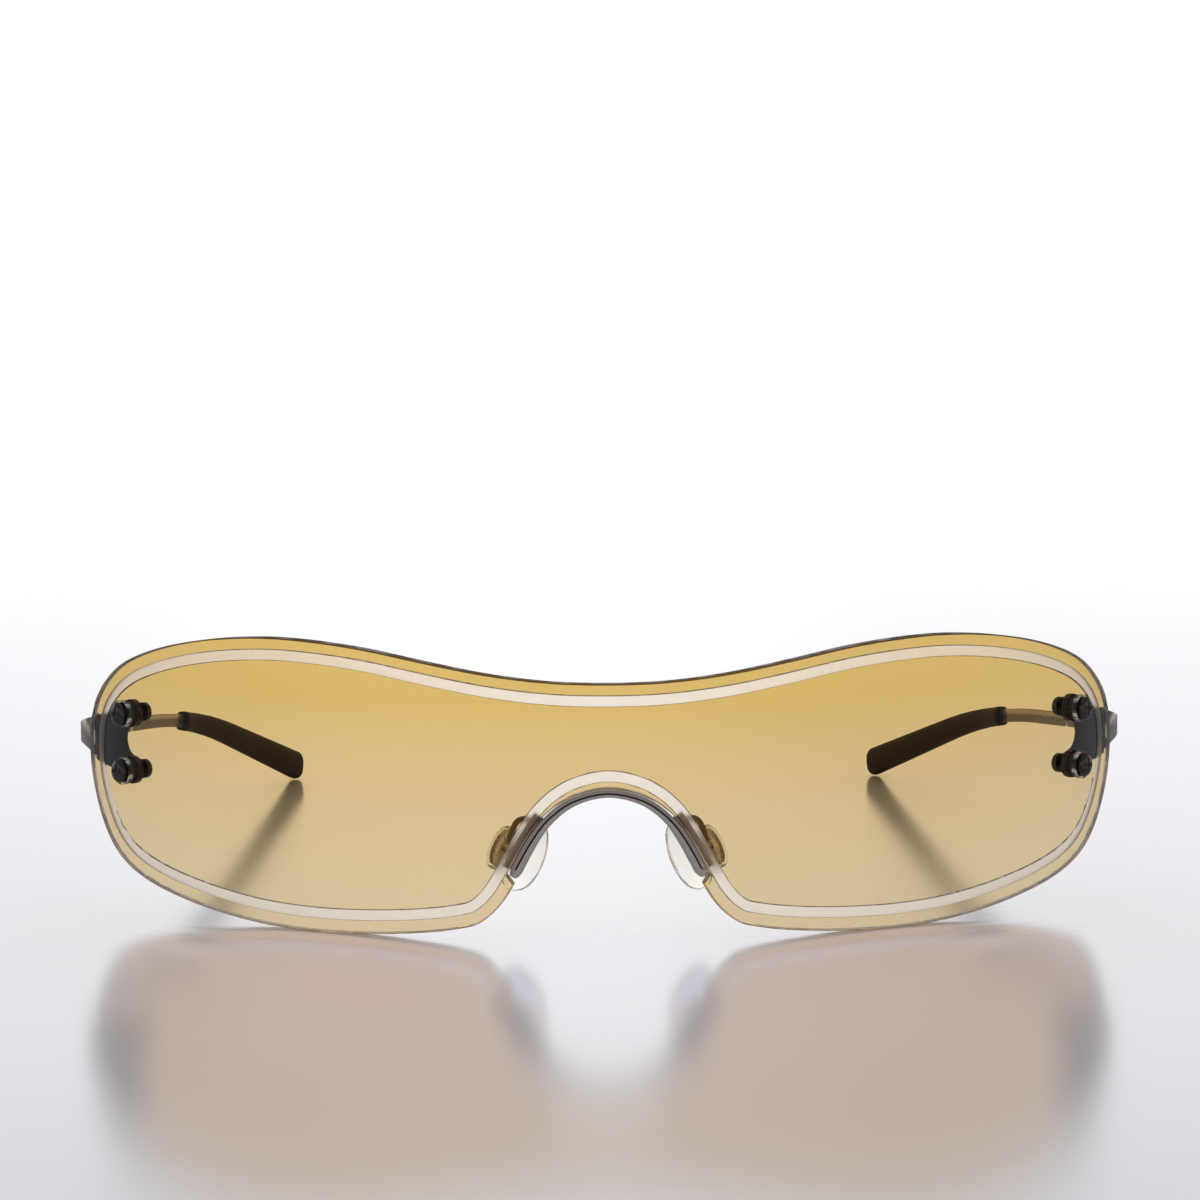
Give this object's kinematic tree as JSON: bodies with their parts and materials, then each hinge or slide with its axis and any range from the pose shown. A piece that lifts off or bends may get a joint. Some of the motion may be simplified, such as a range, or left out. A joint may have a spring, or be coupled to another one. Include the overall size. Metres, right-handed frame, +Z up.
{
  "type": "wraparound sunglasses",
  "caption": "Rimless wraparound shield sunglasses with a one-piece amber lens, folding metal temples, sleeved tips and rocking nose pads.",
  "frame": {"origin": "on the table plane under the middle of the part's box, with the temples open", "axes": "+X to the right of someone looking at the front, +Y from the lens back along the temples, +Z up"},
  "size_m": [0.1472, 0.158, 0.0392],
  "materials": {
    "amber_lens": "polished amber tint, frosted groove",
    "grey_metal": "satin grey",
    "black_metal": "satin black",
    "brushed_steel": "brushed",
    "black_plastic": "matte black",
    "clear_plastic": "clear, polished",
    "clear_silicone": "clear soft silicone",
    "tip_rubber": "matte dark brown-black"
  },
  "bodies": {
    "front": {"cap_nut_left_lower": "black_metal", "cap_nut_left_upper": "black_metal", "cap_nut_right_lower": "black_metal", "cap_nut_right_upper": "black_metal", "endpiece_left": "black_metal", "endpiece_right": "black_metal", "hinge_screw_left": "black_metal", "hinge_screw_right": "black_metal", "lens_bush_left_lower": "black_plastic", "lens_bush_left_upper": "black_plastic", "lens_bush_right_lower": "black_plastic", "lens_bush_right_upper": "black_plastic", "lens_screw_left_lower": "black_metal", "lens_screw_left_upper": "black_metal", "lens_screw_right_lower": "black_metal", "lens_screw_right_upper": "black_metal", "lens_shield": "amber_lens", "lens_washer_left_lower": "clear_plastic", "lens_washer_left_upper": "clear_plastic", "lens_washer_right_lower": "clear_plastic", "lens_washer_right_upper": "clear_plastic", "nose_bridge": "grey_metal", "pad_arm_left": "grey_metal", "pad_arm_right": "grey_metal"},
    "temple_left": {"temple_left": "brushed_steel", "temple_tip_left": "tip_rubber"},
    "temple_right": {"temple_right": "brushed_steel", "temple_tip_right": "tip_rubber"},
    "nose_pad_left": {"nose_pad_left": "clear_silicone", "pad_insert_left": "black_plastic"},
    "nose_pad_right": {"nose_pad_right": "clear_silicone", "pad_insert_right": "black_plastic"}
  },
  "joints": [
    {"name": "temple_left_hinge", "type": "hinge", "parent": "front", "child": "temple_left", "pos_m": [-0.07035, -0.03574, 0.0224], "axis": [0, 0, -1], "range_deg": [0, 92]},
    {"name": "temple_right_hinge", "type": "hinge", "parent": "front", "child": "temple_right", "pos_m": [0.07035, -0.03574, 0.0224], "axis": [0, 0, 1], "range_deg": [0, 84]},
    {"name": "nose_pad_left_rock", "type": "hinge", "parent": "front", "child": "nose_pad_left", "pos_m": [-0.01389, -0.06957, 0.01131], "axis": [0.4494, -0.866, -0.2192], "range_deg": [-6, 6]},
    {"name": "nose_pad_right_rock", "type": "hinge", "parent": "front", "child": "nose_pad_right", "pos_m": [0.01389, -0.06957, 0.01131], "axis": [-0.4494, -0.866, -0.2192], "range_deg": [-6, 6]}
  ]
}
